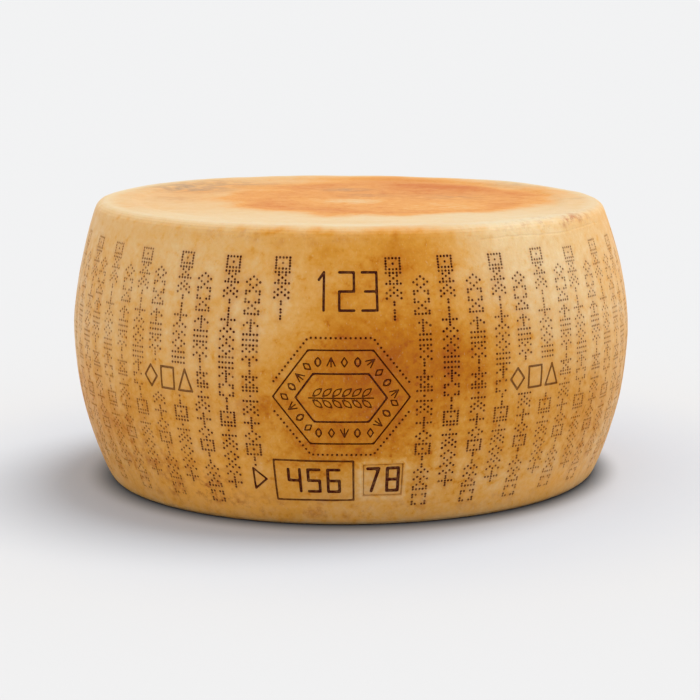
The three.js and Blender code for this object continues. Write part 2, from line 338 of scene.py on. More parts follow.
def pressColumns(symbolTurns):
    c = columns
    reachU = symbols["wide"] * 1.5 + symbols["gap"] + c["clearSymbols"]
    reachZ = symbols["tall"] / 2 + c["clearSymbols"]
    clear = c["clear"] + [(turn - reachU, turn + reachU, symbols["z"] - reachZ, symbols["z"] + reachZ)
                          for turn in symbolTurns]
    first = math.ceil((sheetLeft - c["turn"]) * c["count"] / around)
    for k in range(first, first + c["count"]):
        u = c["turn"] + k * around / c["count"] + (c["leftShift"] if k < 0 else 0)
        u += rng.normal(0, c["wander"])
        lean = rng.normal(0, c["lean"])
        top = (c["lowTop"] if k % 2 else c["highTop"]) + rng.normal(0, c["topJitter"])
        bold = 1 - smooth((abs(u) - c["boldFrom"]) / c["boldFade"])
        strength = rng.uniform(*c["strength"]) + c["boldInk"] * bold
        for index, name in enumerate(orders[k % 2]):
            z = top - (index + 0.5) * c["ornamentPitch"]
            marks = [(row, column) for row, line in enumerate(ornaments[name])
                     for column, mark in enumerate(line) if mark == "#"]
            for row, column in marks:
                y = z + (2 - row) * c["pitchAlong"] + rng.normal(0, c["jitter"])
                x = u + (column - 2) * c["pitchAcross"] + rng.normal(0, c["jitter"])
                x += lean * (y - c["highTop"] / 2) / 100
                if any(a < x < b and low < y < high for a, b, low, high in clear):
                    continue
                size = c["dotRadius"] * rng.uniform(*c["dotSizes"]) * (1 + c["boldSize"] * bold)
                ink = strength * rng.choice(c["inks"], p=c["inkShares"])
                holes.append([x, y, size, c["dotDepth"] * rng.uniform(*c["dotDepths"]), ink])


# Scars from handling and turning: u, z, length, direction in degrees, width, depth, ink.
scars = [
    (-170, 142, 6, 40, 0.6, 0.4, 0.2), (96, 32, 8, -35, 0.6, 0.4, 0.2), (205, 72, 7, 65, 0.6, 0.4, 0.25),
    (330, 60, 9, 20, 0.7, 0.5, 0.4), (-350, 150, 8, -50, 0.7, 0.5, 0.35), (520, 40, 7, 75, 0.6, 0.5, 0.35),
    (-560, 100, 10, 10, 0.7, 0.5, 0.35),
]
# The faint line that the mould's lid left under the shoulder, right of the front.
lid = {"from": 104, "to": 262, "step": 5, "under": 10.5, "sway": 0.8, "swing": 17, "jitter": 0.25,
       "line": 1.8, "depth": 0.12}


def wiggle(u, z, length, degrees, sway):
    c, s = math.cos(math.radians(degrees)), math.sin(math.radians(degrees))
    steps = max(3, round(length / 3))
    found = []
    for i in range(steps + 1):
        along = length * (i / steps - 0.5)
        off = rng.normal(0, sway)
        found.append((u + along * c - off * s, z + along * s + off * c))
    return found


def pressScars():
    for u, z, length, degrees, width, depth, ink in scars:
        press(wiggle(u, z, length, degrees, length * 0.06), width, depth, ink)
    lidLine = []
    for u in range(lid["from"], lid["to"], lid["step"]):
        sway = lid["sway"] * math.sin(u / lid["swing"])
        lidLine.append((u, height - lid["under"] + sway + rng.normal(0, lid["jitter"])))
    press(lidLine, lid["line"], lid["depth"], 0)


pressPlaque()
b = batch
pressNumber(b["digits"], b["wide"], rows["batch"], b["gap"], b["line"], b["depth"], b["turn"], batchZ)
panelU = pressFoot()
pressColumns(pressSymbols())
pressScars()
strokes = np.array(strokes)
holes = np.array(holes)
print("pressed marks:", len(strokes), "strokes,", len(holes), "holes")


# For each point, how far outside the nearest stroke's edge it lies, and which stroke that is.
def nearestStroke(points):
    best = np.full(len(points), 1e9)
    which = np.zeros(len(points), int)
    for index, (ax, ay, bx, by, half, _, _) in enumerate(strokes):
        near = np.flatnonzero(
            (np.abs(points[:, 0] - (ax + bx) / 2) < abs(bx - ax) / 2 + mesh["strokeReach"])
            & (np.abs(points[:, 1] - (ay + by) / 2) < abs(by - ay) / 2 + mesh["strokeReach"]))
        if not len(near):
            continue
        p = points[near]
        along = np.array([bx - ax, by - ay])
        share = np.clip(((p - (ax, ay)) @ along) / (along @ along), 0, 1)
        gap = np.linalg.norm(p - (ax, ay) - share[:, None] * along, axis=1) - half
        closer = gap < best[near]
        best[near[closer]] = gap[closer]
        which[near[closer]] = index
    return best, which


# How far outside the sunk panel's edge a point lies.
def panelGap(points):
    d = np.abs(points - (panelU, footZ)) - (foot["panelWidth"] / 2, foot["panelHeight"] / 2)
    return np.linalg.norm(np.maximum(d, 0), axis=1) + np.minimum(d.max(1), 0)


# Drops each point that lies nearer than `least` to an earlier one or to one of those taken.
def thinned(points, least, taken=()):
    kept = []
    cell = {}
    for p in taken:
        cell.setdefault((int(p[0] // least), int(p[1] // least)), []).append(p)
    for p in points:
        i, j = int(p[0] // least), int(p[1] // least)
        nearby = [q for a in (-1, 0, 1) for b in (-1, 0, 1) for q in cell.get((i + a, j + b), ())]
        if all((p[0] - q[0]) ** 2 + (p[1] - q[1]) ** 2 > least ** 2 for q in nearby):
            kept.append(p)
            cell.setdefault((i, j), []).append(p)
    return np.array(kept).reshape(-1, 2)


# Points along the lips and the floors of the strokes.
def strokePoints():
    lip, floor = [], []
    for ax, ay, bx, by, half, _, _ in strokes:
        length = math.dist((ax, ay), (bx, by))
        tx, ty = (bx - ax) / length, (by - ay) / length
        count = max(1, round(length / mesh["strokeStep"]))
        inner = max(half - mesh["wall"], 0)
        for i in range(count + 1):
            x, y = ax + tx * length * i / count, ay + ty * length * i / count
            for side in (-1, 1):
                lip.append((x - ty * half * side, y + tx * half * side))
                floor.append((x - ty * inner * side, y + tx * inner * side))
        for x, y in ((ax, ay), (bx, by)):
            for step in range(mesh["endSides"]):
                angle = step * 2 * math.pi / mesh["endSides"] + math.atan2(ty, tx)
                lip.append((x + half * math.cos(angle), y + half * math.sin(angle)))
    lip, floor = np.array(lip), np.array(floor)
    gap, _ = nearestStroke(lip)
    lip = thinned(lip[np.abs(gap) < mesh["lipSlack"]], mesh["lipGap"])
    return lip, thinned(floor, mesh["lipGap"])


# Rings of points at the sunk panel's edge, at its floor and outside it.
def panelPoints():
    wide, tall, wall = foot["panelWidth"], foot["panelHeight"], mesh["panelWall"]
    rings = [rectanglePath(wide + more * wall, tall + more * wall, panelU, footZ) for more in (0, -2, 4)]
    walked = [place for ring in rings for place, _ in walk(ring, mesh["panelPitch"])]
    return np.array(walked + rings[0] + rings[1] + rings[2])


# The kinds of point on the side's sheet, how far each is pressed in and how much it browned.
plainPoint, lipPoint, floorPoint, rimPoint, middlePoint = range(5)
pressedOf = np.array([0, 0.5, 1, 0.5, 1])
bleedOf = np.array([0, 0.3, 0.3, 1, 1])


# A plain grid of points on the side, kept clear of holes, strokes and the panel's edge.
def sideGrid():
    pitch = mesh["grainSide"]
    low, high, left, right = [pitch * share for share in mesh["sideMargins"]]
    grid = []
    for row, z in enumerate(np.arange(sideLow + low, sideHigh - high, pitch * mesh["rowShare"])):
        for u in np.arange(ringU[0] + left, ringU[-1] - right, pitch):
            grid.append((u + (row % 2) * pitch / 2 * mesh["rowShift"], z))
    grid = np.array(grid) + rng.uniform(-mesh["sideJitter"], mesh["sideJitter"], (len(grid), 2))
    tree = kdtree.KDTree(len(holes))
    for index, hole in enumerate(holes):
        tree.insert((hole[0], hole[1], 0), index)
    tree.balance()
    grid = grid[[tree.find((p[0], p[1], 0))[2] > mesh["clearHole"] for p in grid]]
    gap, _ = nearestStroke(grid)
    grid = grid[gap > mesh["clearStroke"]]
    return grid[np.abs(panelGap(grid)) > mesh["clearPanel"]]


# Points of the side laid flat, with their kinds.
def sideSheet():
    lower = np.stack([ringU, np.full(ringCount + 1, sideLow)], 1)
    upper = np.stack([ringU, np.full(ringCount + 1, sideHigh)], 1)
    seamZ = np.linspace(sideLow, sideHigh, mesh["seamPoints"] + 2)[1:-1]
    seams = [np.stack([np.full(len(seamZ), u), seamZ], 1) for u in (ringU[0], ringU[-1])]
    lip, floor = strokePoints()
    turn = np.arange(mesh["holeSides"]) * 2 * math.pi / mesh["holeSides"]
    rims = holes[:, None, :2] + holes[:, None, 2:3] * np.stack([np.cos(turn), np.sin(turn)], 1)[None]
    grid = sideGrid()
    panel = panelPoints()
    gap, _ = nearestStroke(panel)
    panel = thinned(panel[gap > mesh["panelGap"]], mesh["panelGap"], lip)
    plain = [lower[:-1], upper[:-1], lower[-1:], upper[-1:], seams[0], seams[1], grid, panel]
    groups = [(group, plainPoint) for group in plain] + [(lip, lipPoint), (floor, floorPoint)]
    groups += [(rims.reshape(-1, 2), rimPoint), (holes[:, :2], middlePoint)]
    points = np.concatenate([group for group, _ in groups])
    return points, np.concatenate([np.full(len(group), kind) for group, kind in groups])


points, kinds = sideSheet()
found = delaunay_2d_cdt([Vector(p) for p in points], [], [], 0, 1e-6, True)
sheetPoints = np.array([(v.x, v.y) for v in found[0]])
sheetFaces = np.array(found[2])
origin = np.array([ids[0] for ids in found[3]])
sheetKinds = kinds[origin]
sheetHole = np.full(len(origin), -1)        # the hole that a rim's or a middle's point belongs to
rim, middle = sheetKinds == rimPoint, sheetKinds == middlePoint
sheetHole[rim] = (origin[rim] - (len(points) - len(holes) * (mesh["holeSides"] + 1))) // mesh["holeSides"]
sheetHole[middle] = origin[middle] - (len(points) - len(holes))
print("side sheet:", len(sheetPoints), "points,", len(sheetFaces), "triangles")


# How deep each point of the side lies under the plain rind, and how dark the mark there is.
def sideDepths():
    depth = np.zeros(len(sheetPoints))
    ink = np.zeros(len(sheetPoints))
    gap, which = nearestStroke(sheetPoints)
    inside = (gap < 0.05) & (sheetKinds < rimPoint)
    depth[inside] = strokes[which[inside], 5] * smooth(-gap[inside] / mesh["wall"])
    ink[inside] = strokes[which[inside], 6]
    depth += foot["panelDepth"] * smooth(-panelGap(sheetPoints) / mesh["panelWall"])
    depth[middle] = holes[sheetHole[middle], 3]
    ink[rim | middle] = holes[sheetHole[rim | middle], 4]
    return depth, ink


# Joins the sheet's two ends: its right-hand points become the left-hand ones.
def joinSeam():
    n, seam = ringCount, mesh["seamPoints"]
    same = np.arange(len(kinds))
    same[2 * n] = 0
    same[2 * n + 1] = n
    seamStart = 2 * n + 2
    same[seamStart + seam:seamStart + 2 * seam] = np.arange(seamStart, seamStart + seam)
    rank = np.empty(len(kinds), int)
    rank[origin] = np.arange(len(origin))
    return rank[same[origin]], rank[np.arange(n)], rank[np.arange(n, 2 * n)]


# The rings of a rounded edge, as (radius, height, share of the way round).
def roundedEdge(corner, before, after, steps):
    rings = []
    for i in range(1, steps + 1):
        t = i / steps
        r = (1 - t) ** 2 * before[0] + 2 * t * (1 - t) * corner[0] + t * t * after[0]
        z = (1 - t) ** 2 * before[1] + 2 * t * (1 - t) * corner[1] + t * t * after[1]
        rings.append((r, z, t))
    return rings


# Points that fill a disc, its outer ring first, and the triangles between them.
def faceDisc(discRadius, pitch, rings):
    places = [np.stack([discRadius * np.sin(ringAngles), -discRadius * np.cos(ringAngles)], 1)]
    for r in rings:
        count = round(2 * math.pi * r / mesh["ringPitch"])
        a = np.arange(count) * 2 * math.pi / count
        places.append(np.stack([r * np.sin(a), -r * np.cos(a)], 1))
    grid = []
    for row, y in enumerate(np.arange(-discRadius, discRadius, pitch * mesh["rowShare"])):
        for x in np.arange(-discRadius, discRadius, pitch):
            grid.append((x + row % 2 * pitch / 2, y))
    grid = np.array(grid) + rng.uniform(-mesh["faceJitter"], mesh["faceJitter"], (len(grid), 2))
    far = np.linalg.norm(grid, axis=1)
    keep = far < discRadius - pitch * mesh["faceMargin"]
    for r in rings:
        keep &= np.abs(far - r) > pitch * mesh["faceRingGap"]
    places = np.concatenate(places + [grid[keep]])
    made = delaunay_2d_cdt([Vector(p) for p in places], [], [], 0, 1e-6, True)
    order = np.array([ids[0] for ids in made[3]])
    return places, order[np.array(made[2])]


# How thickly the side is marked round each point, for the brown that spreads from the marks: the marked
# area in each cell of a grid, blurred over its neighbours.
halo = {"cell": 2.0, "passes": 3, "full": 0.22, "most": 1.2}


def blurred(grid, passes):
    for _ in range(passes):
        grid = (np.roll(grid, 1, 0) + grid + np.roll(grid, -1, 0)) / 3
        padded = np.pad(grid, ((0, 0), (1, 1)), mode="edge")
        grid = (padded[:, :-2] + grid + padded[:, 2:]) / 3
    return grid


def haloAt(points):
    cell = halo["cell"]
    across, up = math.ceil(around / cell), math.ceil(height / cell)
    grid = np.zeros((across, up))
    dots = [(u, z, math.pi * r * r * ink) for u, z, r, _, ink in holes]
    for ax, ay, bx, by, half, _, ink in strokes:
        length = math.dist((ax, ay), (bx, by))
        count = max(1, round(length / cell))
        for i in range(count):
            share = (i + 0.5) / count
            dots.append((ax + (bx - ax) * share, ay + (by - ay) * share, 2 * half * length / count * ink))
    for u, z, area in dots:
        i, j = int((u - sheetLeft) / cell) % across, min(max(int(z / cell), 0), up - 1)
        grid[i, j] += area / cell ** 2
    grid = blurred(grid, halo["passes"])
    i = np.clip(((points[:, 0] - sheetLeft) / cell).astype(int), 0, across - 1)
    j = np.clip((points[:, 1] / cell).astype(int), 0, up - 1)
    return np.clip(grid[i, j] / halo["full"], 0, halo["most"])


# Soft round marks on a flat sheet: x, y, reach across, reach up, amount.
def spots(places, marks):
    amount = np.zeros(len(places))
    for x, y, reachX, reachY, strength in marks:
        across = places[:, 0] - x
        amount += strength * np.exp(-(across / reachX) ** 2 - ((places[:, 1] - y) / reachY) ** 2)
    return amount


# The same marks once more a turn to the left and a turn to the right, so that they cross the seam.
def allRound(marks):
    return [(u + shift, z, a, b, c) for u, z, a, b, c in marks for shift in (-around, 0, around)]


# How amber the rind is, from 0 for pale to 1 for deep: the oil soaked in round the middle of the side
# and left a paler shoulder. The belt is its height, reach and amount; the stains are marks for spots.
stains = {
    "plain": 0.33, "belt": (68, 44, 0.27), "shoulder": -0.2,
    "front": [
        (10, 128, 44, 52, 0.44), (72, 132, 50, 50, 0.40), (40, 200, 38, 22, 0.32),
        (-20, 150, 26, 30, 0.16), (-50, 98, 34, 34, 0.22), (-10, 56, 34, 20, 0.18),
        (150, 188, 64, 34, -0.22), (100, 62, 60, 30, -0.08), (-60, 206, 30, 16, 0.14),
        (-60, 18, 26, 14, 0.16), (-160, 16, 44, 14, 0.16), (-100, 76, 38, 30, -0.14),
        (262, 60, 36, 60, -0.14), (-262, 90, 30, 60, 0.03), (180, 14, 80, 16, -0.06),
        (-178, 138, 16, 12, 0.14), (148, 212, 60, 8, -0.12), (-228, 20, 24, 14, 0.12),
        (-18, 203, 16, 12, 0.12), (-112, 16, 34, 12, -0.14), (-122, 22, 7, 5, 0.32),
        (-100, 30, 6, 4, 0.24), (-128, 44, 9, 6, 0.18), (-63, 90, 6, 7, 0.2), (-20, 142, 14, 14, -0.12),
        (-16, 196, 20, 14, 0.12), (190, 150, 60, 26, -0.1), (60, 74, 16, 16, -0.12),
    ],
    # Scattered over the back: how many, how far from the front they start, and their ranges.
    "backCount": 34, "frontFree": 335, "backLow": 10,
    "backAcross": (22, 60), "backUp": (16, 40), "backAmount": (-0.22, 0.38),
    # Small amber drips just under the shoulder, closest together between these two places at the front.
    "dripStep": 7, "dripFront": (-115, 70), "dripChance": (0.8, 0.3), "dripJitter": 2, "dripUnder": (2, 6),
    "dripAcross": (1.5, 4), "dripUp": (1.2, 2.6), "dripAmount": (0.08, 0.3),
}


def backStains():
    s = stains
    made = []
    while len(made) < s["backCount"]:
        u = rng.uniform(sheetLeft, wheel["seamAt"])
        if abs(u) > s["frontFree"]:
            made.append((u, rng.uniform(s["backLow"], height), rng.uniform(*s["backAcross"]),
                         rng.uniform(*s["backUp"]), rng.uniform(*s["backAmount"])))
    return made


def edgeDrips():
    s = stains
    made = []
    for u in np.arange(-around / 2, around / 2, s["dripStep"]):
        atFront = s["dripFront"][0] < u < s["dripFront"][1]
        if rng.random() < s["dripChance"][0 if atFront else 1]:
            place = (u + rng.normal(0, s["dripJitter"]), height - rng.uniform(*s["dripUnder"]))
            made.append((*place, rng.uniform(*s["dripAcross"]), rng.uniform(*s["dripUp"]),
                         rng.uniform(*s["dripAmount"])))
    return made


allStains = allRound(stains["front"] + backStains() + edgeDrips())


def stainAt(u, z):
    middleZ, reach, amount = stains["belt"]
    belt = amount * np.exp(-((z - middleZ) / reach) ** 2)
    return stains["plain"] + belt + spots(np.stack([u, z], 1), allStains)


# The small plate left a paler bed with a pale lip round it.
bed = {"inside": 0.12, "fade": 2, "lip": 0.26, "lipAt": 0.9, "lipReach": 1.5}


def bedAt(points):
    gap = panelGap(points)
    lip = smooth(bed["lipReach"] - np.abs(gap - bed["lipAt"]))
    return bed["inside"] * smooth(-gap / bed["fade"]) + bed["lip"] * lip


# Where dirt and burnt oil stuck: broad thin patches low down and under the shoulder, and small thick
# smudges.
dirt = allRound([
    (-130, 26, 52, 20, 0.5), (-195, 42, 50, 34, 0.4), (-40, 12, 60, 9, 0.4), (70, 14, 90, 9, 0.3),
    (-70, 94, 24, 20, 0.35), (200, height - 3, 62, 5, 0.7), (-60, height - 6, 60, 4, 0.35),
    (230, 40, 60, 40, 0.25), (420, 28, 120, 22, 0.5), (-430, 26, 120, 22, 0.5),
    (520, height - 6, 60, 5, 0.6), (-500, height - 4, 50, 4, 0.5), (60, 150, 40, 60, 0.15),
    (-122, 22, 6, 5, 1.0), (-131, 17, 6, 3, 0.8), (-104, 28, 6, 4, 0.7), (-111, 19, 9, 3, 0.6),
    (-92, 12, 14, 3, 0.5), (-63, 90, 4, 7, 0.6), (-150, 14, 8, 4, 0.5), (96, 30, 5, 3, 0.5),
    (330, 64, 6, 8, 0.7), (-350, 148, 9, 5, 0.6), (520, 38, 6, 5, 0.8), (-560, 96, 8, 6, 0.7),
    (440, 24, 10, 4, 0.6), (-470, 20, 7, 4, 0.8),
])

# The lower edge kept a bright golden skin, most of all on the left of the front.
gold = {
    "amount": 0.4, "z": 12, "reach": 15,
    "marks": allRound([(-112, 28, 62, 26, 0.6), (-125, 62, 50, 30, 0.2), (190, 14, 70, 14, 0.2)]),
}


def goldAt(u, z):
    edge = gold["amount"] * np.exp(-((z - gold["z"]) / gold["reach"]) ** 2)
    return edge + spots(np.stack([u, z], 1), gold["marks"])


# How calm the rind's pattern is: even under the shoulder and on the margin of the top, livelier than
# plain, below 0, low on the side.
calm = {
    "high": 0.45, "highUnder": 34, "highFade": 30, "low": 0.5, "lowTo": 90, "lowFade": 60,
    "shoulderMore": 0.25, "topMargin": 0.7, "topDisc": 0.6, "base": 0.3,
}


def calmAt(z):
    high = calm["high"] * smooth((z - height + calm["highUnder"]) / calm["highFade"])
    return high - calm["low"] * smooth((calm["lowTo"] - z) / calm["lowFade"])


# The top took up more oil in a wide off-centre disc, brown towards its edge; its margin stayed cream.
topStains = {
    "x": 31, "y": 14, "reach": 119, "fade": 44, "plain": 0.36, "disc": 0.33,
    "edge": 0.13, "edgeReach": 16, "edgeFrom": 30, "front": -0.2, "frontFrom": 50, "frontFade": 90,
    "drift": [(42, 22, 5), (14, 9, 6)],         # size, amount and seed of the disc's uneven edge
    "marks": [
        (40, 150, 70, 40, 0.42), (95, 110, 34, 34, 0.28), (0, -8, 28, 18, -0.34),
        (66, -40, 40, 36, -0.12), (-85, 105, 50, 34, 0.24), (-130, 66, 26, 22, 0.22),
        (50, 70, 50, 40, 0.14), (-125, 15, 36, 30, 0.12), (150, 60, 26, 50, 0.22),
        (10, 110, 22, 16, -0.18), (150, -50, 50, 60, -0.1), (100, -110, 60, 40, -0.04),
        (20, -190, 110, 16, -0.14), (110, 150, 30, 26, -0.2), (150, 120, 30, 26, -0.14),
        (0, -150, 70, 20, 0.06),
    ],
    "smoke": [
        (-132, 84, 30, 26, 0.8), (-2, 80, 18, 14, 0.5), (14, 34, 18, 16, 0.3), (-140, 8, 18, 22, 0.25),
        (150, 118, 26, 20, 0.4), (188, 2, 14, 7, 0.35), (-94, 122, 36, 16, 0.5), (80, 30, 26, 20, 0.25),
    ],
}


def drifting(places, layers):
    flat = np.column_stack([places, np.zeros(len(places))])
    return sum(amount * noiseAt(flat, size, seed) for size, amount, seed in layers)


# Amber, smoke and calm of the top.
def topTones(places):
    t = topStains
    x, y = places[:, 0], places[:, 1]
    near = t["reach"] - np.hypot(x - t["x"], y - t["y"]) + drifting(places, t["drift"])
    disc = smooth(near / t["fade"] + 0.5)
    tone = t["plain"] + t["disc"] * disc + spots(places, t["marks"])
    edge = np.exp(-((near - t["edgeReach"]) / t["edgeReach"]) ** 2)
    tone += t["edge"] * edge * smooth((t["edgeFrom"] - y) / (2 * t["edgeFrom"]))
    tone += t["front"] * smooth((-y - t["frontFrom"]) / t["frontFade"]) * (1 - disc)
    return tone, spots(places, t["smoke"]), calm["topMargin"] - calm["topDisc"] * disc


# The base stood on a plank: cream at its edge, browner in broad patches towards the middle.
baseStains = {
    "plain": 0.2, "middle": 0.26, "x": -12, "y": 8, "reach": 150, "fade": 70,
    "drift": [(70, 0.34, 7), (26, 0.16, 8)], "smoke": [(50, 1.2, 9)], "smokeLess": 0.1, "smokeMost": 0.6,
}


def baseTones(places):
    b = baseStains
    near = (b["reach"] - np.hypot(places[:, 0] - b["x"], places[:, 1] - b["y"])) / b["fade"]
    tone = b["plain"] + b["middle"] * smooth(near) + drifting(places, b["drift"])
    smoke = np.clip(drifting(places, b["smoke"]) - b["smokeLess"], 0, b["smokeMost"])
    return tone, smoke, np.full(len(places), calm["base"])


def buildWheel():
    w, n = wheel, ringCount
    u, z = sheetPoints[:, 0], sheetPoints[:, 1]
    depth, ink = sideDepths()
    joined, lowerRing, upperRing = joinSeam()
    places, normals = sidePlaces(u, z)
    zeros = np.zeros(len(places))
    allPlaces, allNormals, depths = [places], [normals], [depth]
    extras = {
        "pressed": [pressedOf[sheetKinds]], "ink": [ink], "halo": [haloAt(sheetPoints)],
        "bleed": [bleedOf[sheetKinds]], "stain": [stainAt(u, z) - bedAt(sheetPoints)],
        "gold": [goldAt(u, z)], "smoke": [zeros], "face": [zeros],
        "calm": [calmAt(z)], "dirt": [spots(sheetPoints, dirt)],
    }
    faces = joined[sheetFaces].tolist()
    layout = [[tuple(sheetPoints[i]) for i in corners] for corners in sheetFaces]   # each corner laid flat
    zones = ["side"] * len(faces)
    count = len(places)

    def addRings(start, rings, ring, upwards):
        nonlocal count
        flatZ = sideHigh if upwards else sideLow
        lastR, lastZ = start
        way = 1 if upwards else -1
        for r, z, share in rings:
            nextZ = flatZ + way * math.hypot(r - lastR, z - lastZ)
            lastR, lastZ = r, z
            new = count + np.arange(n)
            lean = share * math.pi / 2
            out = math.cos(lean)
            outX, outY = np.sin(ringAngles), -np.cos(ringAngles)
            level = np.full(n, z)
            allPlaces.append(np.stack([r * outX, r * outY, level], 1))
            allNormals.append(np.stack([out * outX, out * outY, np.full(n, math.sin(lean) * way)], 1))
            depths.append(np.zeros(n))
            for name in ("pressed", "ink", "halo", "bleed", "smoke"):
                extras[name].append(np.zeros(n))
            extras["stain"].append(stainAt(ringU[:-1], level) + stains["shoulder"] * share)
            extras["gold"].append(goldAt(ringU[:-1], level))
            extras["face"].append(np.full(n, smooth(share * 1.1)))
            ringCalm = calm["high"] + calm["shoulderMore"] * share if upwards else -calm["low"]
            extras["calm"].append(np.full(n, ringCalm))
            extras["dirt"].append(spots(np.stack([ringU[:-1], level], 1), dirt))
            for i in range(n):
                j = (i + 1) % n
                left, right = ringU[i], ringU[i + 1]
                faces.append([ring[i], ring[j], new[j], new[i]][::way])
                layout.append([(left, flatZ), (right, flatZ), (right, nextZ), (left, nextZ)][::way])
                zones.append("side")
            ring, flatZ = new, nextZ
            count += n
        return ring

    def addFace(ring, discRadius, pitch, rings, upwards):
        nonlocal count
        discPoints, triangles = faceDisc(discRadius, pitch, rings)
        inner = discPoints[n:]
        index = np.concatenate([ring, count + np.arange(len(inner))])
        zeros = np.zeros(len(inner))
        dish = smooth((topRadius - w["rimWidth"] - np.linalg.norm(inner, axis=1)) / w["dishSlopeWidth"])
        z = height - w["dishDepth"] * dish if upwards else zeros
        allPlaces.append(np.column_stack([inner, z]))
        allNormals.append(np.stack([zeros, zeros, zeros + (1 if upwards else -1)], 1))
        depths.append(zeros)
        for name in ("pressed", "ink", "halo", "bleed", "gold", "dirt"):
            extras[name].append(zeros)
        tones = topTones(inner) if upwards else baseTones(inner)
        for name, values in zip(("stain", "smoke", "calm"), tones):
            extras[name].append(values)
        extras["face"].append(zeros + 1)
        for a, b, c in triangles:
            corners = [a, b, c] if upwards else [a, c, b]
            faces.append([index[i] for i in corners])
            layout.append([tuple(discPoints[i]) for i in corners])
            zones.append("top" if upwards else "base")
        count += len(inner)

    topRadius, baseRadius = float(sideRadius(height)), float(sideRadius(0))
    high, low = (sideRadius(sideHigh), sideHigh), (sideRadius(sideLow), sideLow)
    topStart, baseStart = topRadius - w["shoulderRound"], baseRadius - w["baseRound"]
    shoulder = roundedEdge((topRadius, height), high, (topStart, height), mesh["roundSteps"])
    heel = roundedEdge((baseRadius, 0), low, (baseStart, 0), mesh["roundSteps"] - 1)
    topRing = addRings(high, shoulder, upperRing, True)
    baseRing = addRings(low, heel, lowerRing, False)
    dishRings = [topRadius - w["rimWidth"] - w["dishSlopeWidth"] * share for share in (0, 0.33, 0.67, 1)]
    addFace(topRing, rimRadius, mesh["grainTop"], dishRings, True)
    addFace(baseRing, baseStart, mesh["grainBase"], [], False)

    place, normal = np.concatenate(allPlaces), np.concatenate(allNormals)
    out = sum(amount * noiseAt(place, size, relief["seed"] + i)
              for i, (size, amount) in enumerate(relief["swells"]))
    out *= np.where(np.abs(normal[:, 2]) > 0.99, relief["faceShare"], 1)
    out *= smooth(place[:, 2] / relief["rise"])
    place = place + normal * (out - np.concatenate(depths))[:, None]
    place[:, 2] -= w["topSlope"] * place[:, 0] / (2 * radius) * place[:, 2] / height
    return place, faces, layout, zones, {name: np.concatenate(parts) for name, parts in extras.items()}


# Marks the lips of the holes and strokes, so that the rind between them shades smoothly.
def sharpEdges(made):
    ends = np.empty(len(made.edges) * 2, int)
    made.edges.foreach_get("vertices", ends)
    a, b = ends.reshape(-1, 2).T
    kind = np.zeros(len(made.vertices), int)
    kind[:len(sheetKinds)] = sheetKinds
    hole = np.full(len(made.vertices), -1)
    hole[:len(sheetHole)] = sheetHole
    sharp = (kind[a] == rimPoint) & (kind[b] == rimPoint) & (hole[a] == hole[b])
    lip = np.flatnonzero((kind[a] == lipPoint) & (kind[b] == lipPoint))
    gap, _ = nearestStroke((sheetPoints[a[lip]] + sheetPoints[b[lip]]) / 2)
    sharp[lip[np.abs(gap) < 0.1]] = True
    layer = made.attributes.new("sharp_edge", "BOOLEAN", "EDGE")
    layer.data.foreach_set("value", sharp)


# The map: the side in strips above each other, with the two faces beside them.
atlas = {"strips": 3, "margin": 8, "stripGap": 24}


def mapFaces(made, layout, zones):
    strips, margin, gap = atlas["strips"], atlas["margin"], atlas["stripGap"]
    stripLength, stripHeight = around / strips, height + gap
    size = stripLength + 2 * rimRadius + 4 * margin
    faceX = stripLength + 3 * margin + rimRadius
    middles = {"top": (faceX, rimRadius + margin, 1), "base": (faceX, 3 * rimRadius + 2 * margin, -1)}
    mapped = []
    for corners, zone in zip(layout, zones):
        if zone == "side":
            middleU = sum(u for u, _ in corners) / len(corners)
            strip = min(int((middleU - sheetLeft) / stripLength), strips - 1)
            mapped += [(margin + u - sheetLeft - strip * stripLength, gap / 2 + z + strip * stripHeight)
                       for u, z in corners]
        else:
            faceX, faceY, flip = middles[zone]
            mapped += [(faceX + flip * x, faceY + y) for x, y in corners]
    layer = made.uv_layers.new(name="OFBake")
    layer.uv.foreach_set("vector", (np.array(mapped) / size).ravel())


place, faces, layout, zones, extras = buildWheel()
print("wheel:", len(place), "points,", len(faces), "faces,", sum(len(f) - 2 for f in faces), "triangles")
rind = bpy.data.meshes.new("cheeseWheelRind")
rind.from_pydata(place * mm, [], faces)
rind.update()
for name in extras:
    layer = rind.attributes.new(name, "FLOAT", "POINT")
    layer.data.foreach_set("value", extras[name].astype(np.float32))
sharpEdges(rind)
mapFaces(rind, layout, zones)
work = bmesh.new()
work.from_mesh(rind)
loose = [v for v in work.verts if not v.link_faces]     # the seam's doubles
bmesh.ops.delete(work, geom=loose, context="VERTS")
work.to_mesh(rind)
work.free()
cheese = bpy.data.objects.new("cheeseWheel", rind)
bpy.context.scene.collection.objects.link(cheese)


# Turns an sRGB hex colour into linear values.
def linear(colour):
    parts = [int(colour[i:i + 2], 16) / 255 for i in (1, 3, 5)]
    return [c / 12.92 if c <= 0.04045 else ((c + 0.055) / 1.055) ** 2.4 for c in parts] + [1.0]


# Adds a node, sets its properties or socket values, and links other nodes' outputs into it.
def addNode(tree, kind, settings=None, links=None):
    node = tree.nodes.new(kind)
    for name, value in (settings or {}).items():
        if isinstance(name, int) or name in node.inputs:
            node.inputs[name].default_value = value
        else:
            setattr(node, name, value)
    for name, source in (links or {}).items():
        output = source if isinstance(source, bpy.types.NodeSocket) else source.outputs[0]
        tree.links.new(output, node.inputs[name])
    return node


